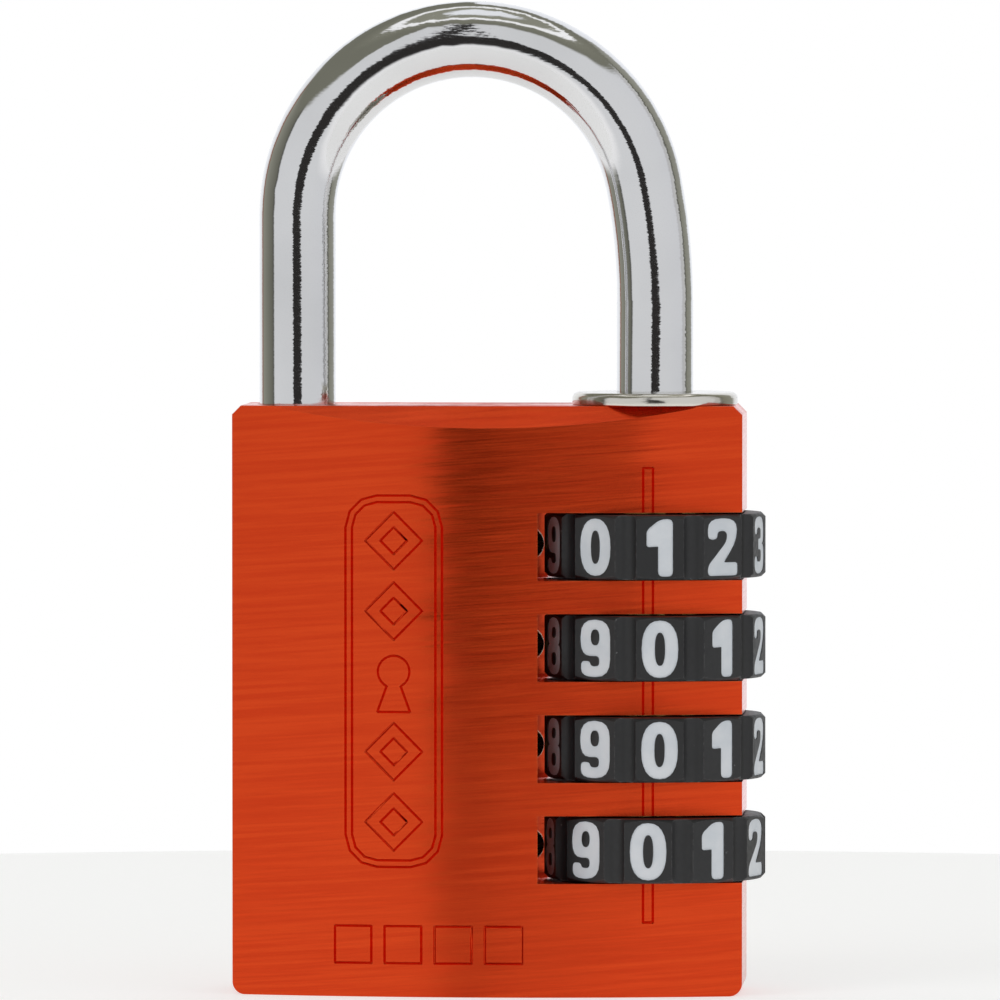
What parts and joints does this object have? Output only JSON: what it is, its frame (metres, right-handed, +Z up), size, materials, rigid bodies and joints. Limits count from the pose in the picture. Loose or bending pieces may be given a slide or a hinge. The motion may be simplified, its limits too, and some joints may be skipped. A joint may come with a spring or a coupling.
{
  "type": "combination padlock",
  "caption": "Compact padlock with a crowned metal body, a long round shackle and numbered dials stacked along one side.",
  "frame": {"origin": "centre of the body's flat bottom face", "axes": "+Z up along the shackle legs, -Y out of the front face, +X towards the dial side"},
  "size_m": [0.0416, 0.0172, 0.0779],
  "materials": {
    "body": "brushed and anodised orange",
    "shackle": "polished nickel-chrome plating",
    "bush": "bright nickel plating",
    "dial": "satin moulded charcoal plastic",
    "numeral": "pale paint fill",
    "brass": "machined",
    "steel": "plain"
  },
  "bodies": {
    "housing": {"lock_body": "body", "flanged_bush": "bush", "bottom_plug": "steel", "reset_spring": "steel"},
    "shackle_group": {"shackle": "shackle", "retaining_ring": "steel"},
    "dial_1": {"number_dial_1": "dial", "numerals_1": "numeral"},
    "dial_2": {"number_dial_2": "dial", "numerals_2": "numeral"},
    "dial_3": {"number_dial_3": "dial", "numerals_3": "numeral"},
    "dial_4": {"number_dial_4": "dial", "numerals_4": "numeral"},
    "sleeve_1": {"clutch_sleeve_1": "brass"},
    "sleeve_2": {"clutch_sleeve_2": "brass"},
    "sleeve_3": {"clutch_sleeve_3": "brass"},
    "sleeve_4": {"clutch_sleeve_4": "brass"},
    "washer": {"thrust_washer": "steel"},
    "plunger_1": {"detent_plunger_1": "brass", "detent_spring_1": "steel"},
    "plunger_2": {"detent_plunger_2": "brass", "detent_spring_2": "steel"},
    "plunger_3": {"detent_plunger_3": "brass", "detent_spring_3": "steel"},
    "plunger_4": {"detent_plunger_4": "brass", "detent_spring_4": "steel"}
  },
  "joints": [
    {"name": "shackle_lift", "type": "slide", "parent": "housing", "child": "shackle_group", "axis": [0, 0, 1], "range_m": [0, 0.0079]},
    {"name": "dial_1_turn", "type": "hinge", "parent": "housing", "child": "dial_1", "pos_m": [0.01295, 0, 0.03525], "axis": [0, 0, 1], "continuous": true},
    {"name": "dial_2_turn", "type": "hinge", "parent": "housing", "child": "dial_2", "pos_m": [0.01295, 0, 0.02735], "axis": [0, 0, 1], "continuous": true},
    {"name": "dial_3_turn", "type": "hinge", "parent": "housing", "child": "dial_3", "pos_m": [0.01295, 0, 0.01945], "axis": [0, 0, 1], "continuous": true},
    {"name": "dial_4_turn", "type": "hinge", "parent": "housing", "child": "dial_4", "pos_m": [0.01295, 0, 0.01155], "axis": [0, 0, 1], "continuous": true},
    {"name": "code_shift", "type": "slide", "parent": "housing", "child": "washer", "axis": [0, 0, 1], "range_m": [-0.0012, 0], "stiffness_N_per_m": 1000, "springref_m": 0.001, "deforming": ["reset_spring"]},
    {"name": "sleeve_1_shift", "type": "slide", "parent": "dial_1", "child": "sleeve_1", "axis": [0, 0, 1], "range_m": [-0.0012, 0]},
    {"name": "sleeve_2_shift", "type": "slide", "parent": "dial_2", "child": "sleeve_2", "axis": [0, 0, 1], "range_m": [-0.0012, 0]},
    {"name": "sleeve_3_shift", "type": "slide", "parent": "dial_3", "child": "sleeve_3", "axis": [0, 0, 1], "range_m": [-0.0012, 0]},
    {"name": "sleeve_4_shift", "type": "slide", "parent": "dial_4", "child": "sleeve_4", "axis": [0, 0, 1], "range_m": [-0.0012, 0]},
    {"name": "plunger_1_press", "type": "slide", "parent": "housing", "child": "plunger_1", "axis": [1, 0, 0], "range_m": [-0.00045, 0], "stiffness_N_per_m": 300, "springref_m": 0.0005},
    {"name": "plunger_2_press", "type": "slide", "parent": "housing", "child": "plunger_2", "axis": [1, 0, 0], "range_m": [-0.00045, 0], "stiffness_N_per_m": 300, "springref_m": 0.0005},
    {"name": "plunger_3_press", "type": "slide", "parent": "housing", "child": "plunger_3", "axis": [1, 0, 0], "range_m": [-0.00045, 0], "stiffness_N_per_m": 300, "springref_m": 0.0005},
    {"name": "plunger_4_press", "type": "slide", "parent": "housing", "child": "plunger_4", "axis": [1, 0, 0], "range_m": [-0.00045, 0], "stiffness_N_per_m": 300, "springref_m": 0.0005}
  ],
  "couplings": [
    {"joint": "sleeve_1_shift", "follows": "code_shift", "ratio": 1},
    {"joint": "sleeve_2_shift", "follows": "code_shift", "ratio": 1},
    {"joint": "sleeve_3_shift", "follows": "code_shift", "ratio": 1},
    {"joint": "sleeve_4_shift", "follows": "code_shift", "ratio": 1}
  ]
}
